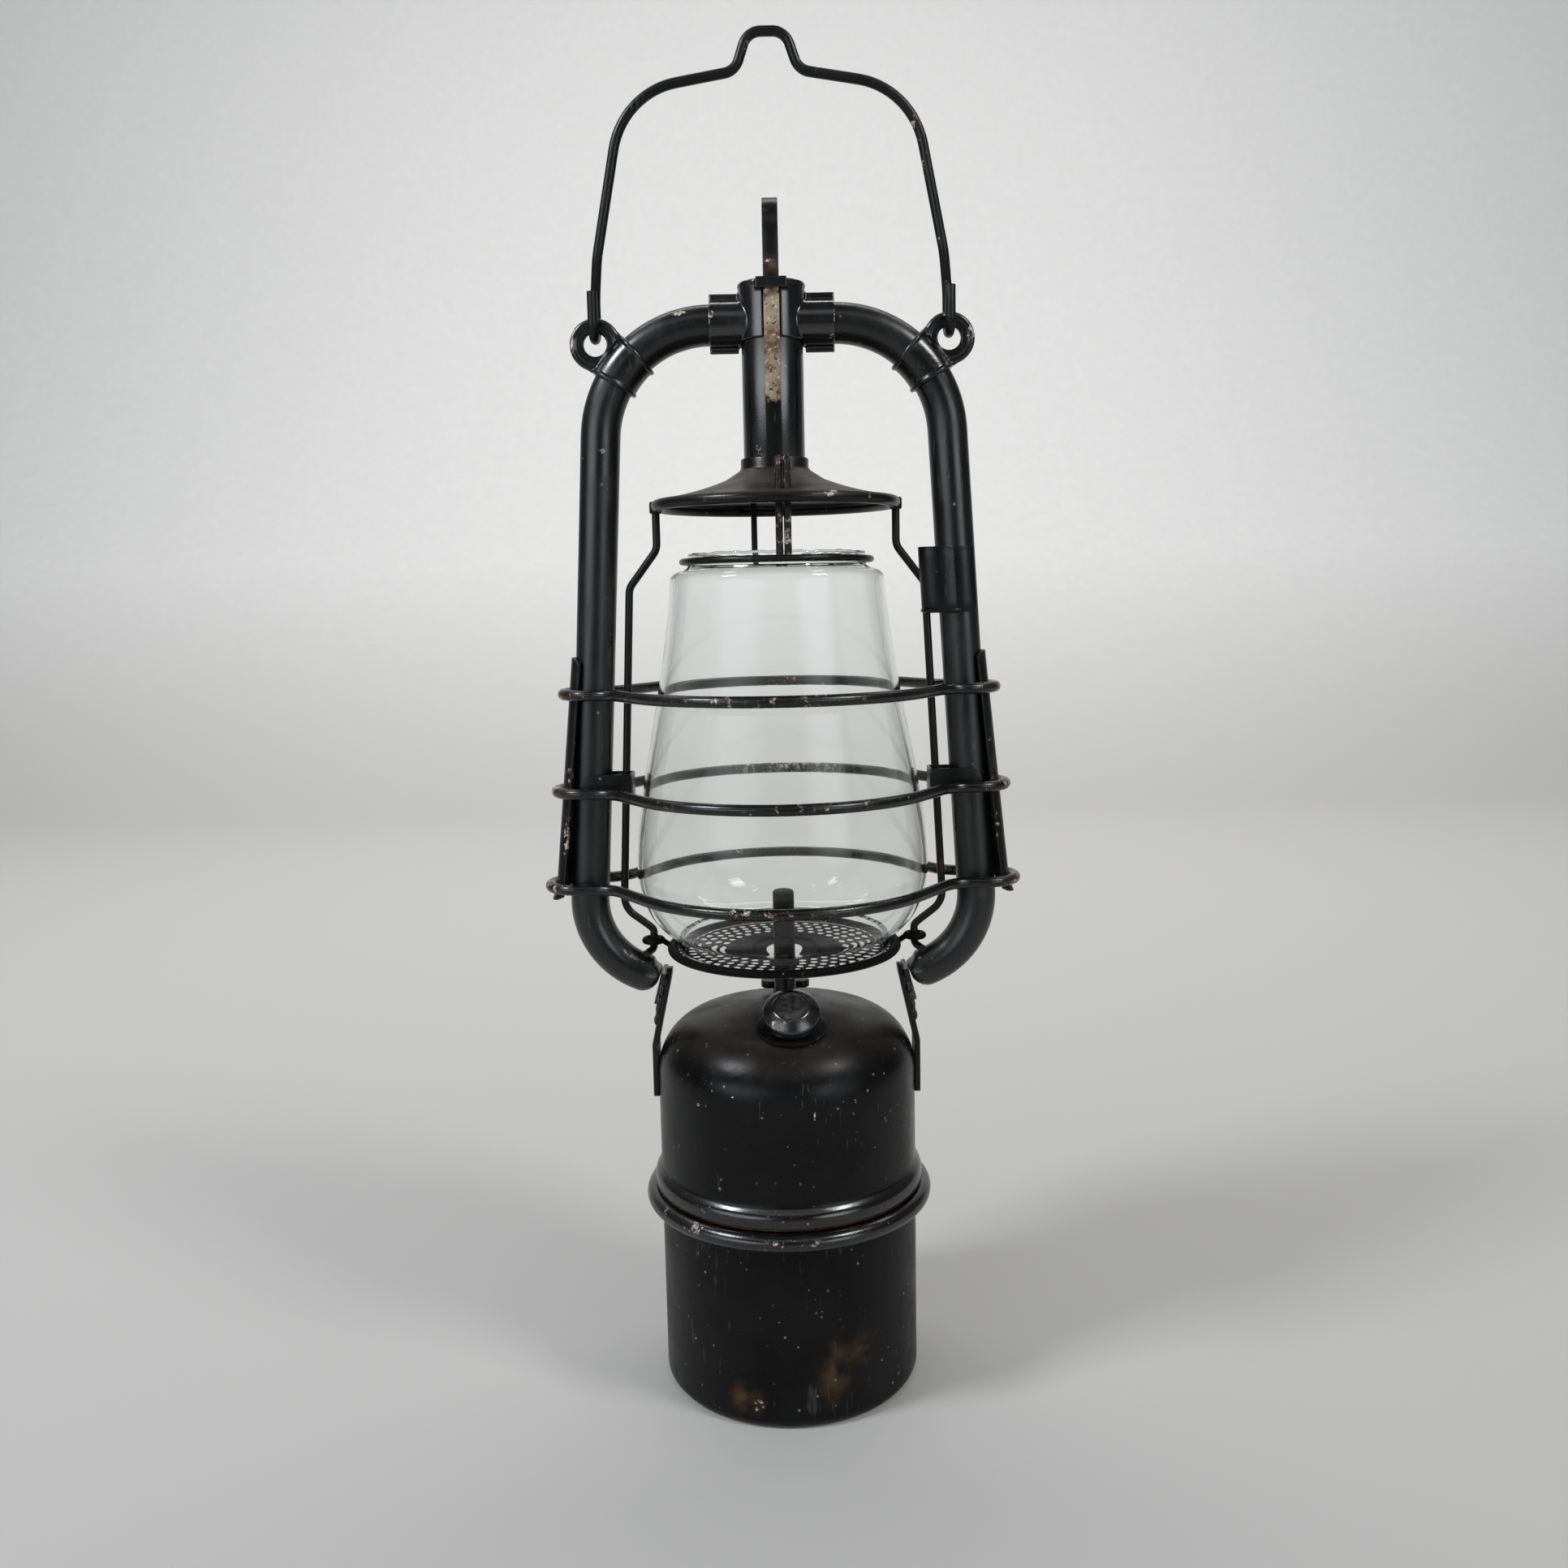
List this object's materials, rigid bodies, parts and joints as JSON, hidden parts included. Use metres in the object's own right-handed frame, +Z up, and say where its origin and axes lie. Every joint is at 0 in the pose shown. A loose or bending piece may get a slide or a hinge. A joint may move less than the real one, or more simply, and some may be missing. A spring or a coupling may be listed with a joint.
{
  "type": "hurricane lantern",
  "caption": "Carbide storm lantern: a screw-apart canister, tube frame with guard rings, a glass globe on a lifting carriage, and a hinged bail.",
  "frame": {"origin": "centre of the underside of the pot, where the lantern stands", "axes": "+Z up along the canister's axis, +X to the right of the side with the filler cap, which faces -Y"},
  "size_m": [0.1682, 0.1138, 0.4665],
  "materials": {
    "enamel": "worn semi-gloss black",
    "bare_iron": "dull tinned sheet",
    "worn_strip": "worn, lightly rusted",
    "brass": "dull",
    "gasket": "matte",
    "glass": "clear"
  },
  "bodies": {
    "pot": {"carbide_pot": "enamel", "carbide_basket": "bare_iron"},
    "pot_seal": {"pot_gasket": "gasket"},
    "frame": {"water_tank": "enamel", "tank_floor": "bare_iron", "drip_tube": "brass", "gas_stem": "enamel", "burner_tip": "enamel", "filler_neck": "enamel", "valve_gland": "enamel", "strap_left": "enamel", "strap_right": "enamel", "side_tube_left": "enamel", "side_tube_right": "enamel", "hub_front": "enamel", "hub_back": "enamel", "chimney_tube": "enamel", "ear_left": "enamel", "ear_right": "enamel", "guard_ring_lower": "enamel", "guard_ring_middle": "enamel", "guard_ring_upper": "enamel", "guard_strip_left": "enamel", "guard_strip_right": "enamel", "wire_guide_left": "enamel", "wire_guide_right": "enamel", "lift_rest_clip": "enamel"},
    "carriage": {"hood": "enamel", "lift_strip": "worn_strip", "side_wire_left": "enamel", "side_wire_right": "enamel", "gallery_plate": "enamel", "gallery_eyes": "enamel", "globe": "glass"},
    "globe_holder": {"globe_ring": "enamel", "front_stay": "enamel", "back_stay": "enamel"},
    "bail": {"bail": "enamel"},
    "filler_seal": {"filler_washer": "gasket"},
    "filler_plug": {"filler_cap": "enamel"},
    "valve": {"valve_spindle": "brass", "valve_knob": "enamel"}
  },
  "joints": [
    {"name": "tank_rise", "type": "slide", "parent": "pot", "child": "pot_seal", "axis": [0, 0, 1], "range_m": [0, 0.012]},
    {"name": "tank_unscrew", "type": "hinge", "parent": "pot_seal", "child": "frame", "pos_m": [0, 0, 0.072], "axis": [0, 0, 1], "range_deg": [0, 1080]},
    {"name": "carriage_lift", "type": "slide", "parent": "frame", "child": "carriage", "axis": [0, 0, 1], "range_m": [0, 0.03]},
    {"name": "globe_ring_lift", "type": "slide", "parent": "carriage", "child": "globe_holder", "axis": [0, 0, 1], "range_m": [0, 0.008]},
    {"name": "bail_swing", "type": "hinge", "parent": "frame", "child": "bail", "pos_m": [0, 0, 0.3728], "axis": [1, 0, 0], "range_deg": [-110, 110]},
    {"name": "cap_rise", "type": "slide", "parent": "frame", "child": "filler_seal", "axis": [0, -0.5592, 0.829], "range_m": [0, 0.006]},
    {"name": "cap_unscrew", "type": "hinge", "parent": "filler_seal", "child": "filler_plug", "pos_m": [0.002, -0.0235, 0.135], "axis": [0, -0.5592, 0.829], "range_deg": [0, 1080]},
    {"name": "valve_turn", "type": "hinge", "parent": "frame", "child": "valve", "pos_m": [0, 0.016, 0.14], "axis": [0, 0, 1], "range_deg": [0, 540]}
  ],
  "couplings": [
    {"joint": "tank_rise", "follows": "tank_unscrew", "m_per_rad": 0.00063662},
    {"joint": "cap_rise", "follows": "cap_unscrew", "m_per_rad": 0.00031831}
  ]
}
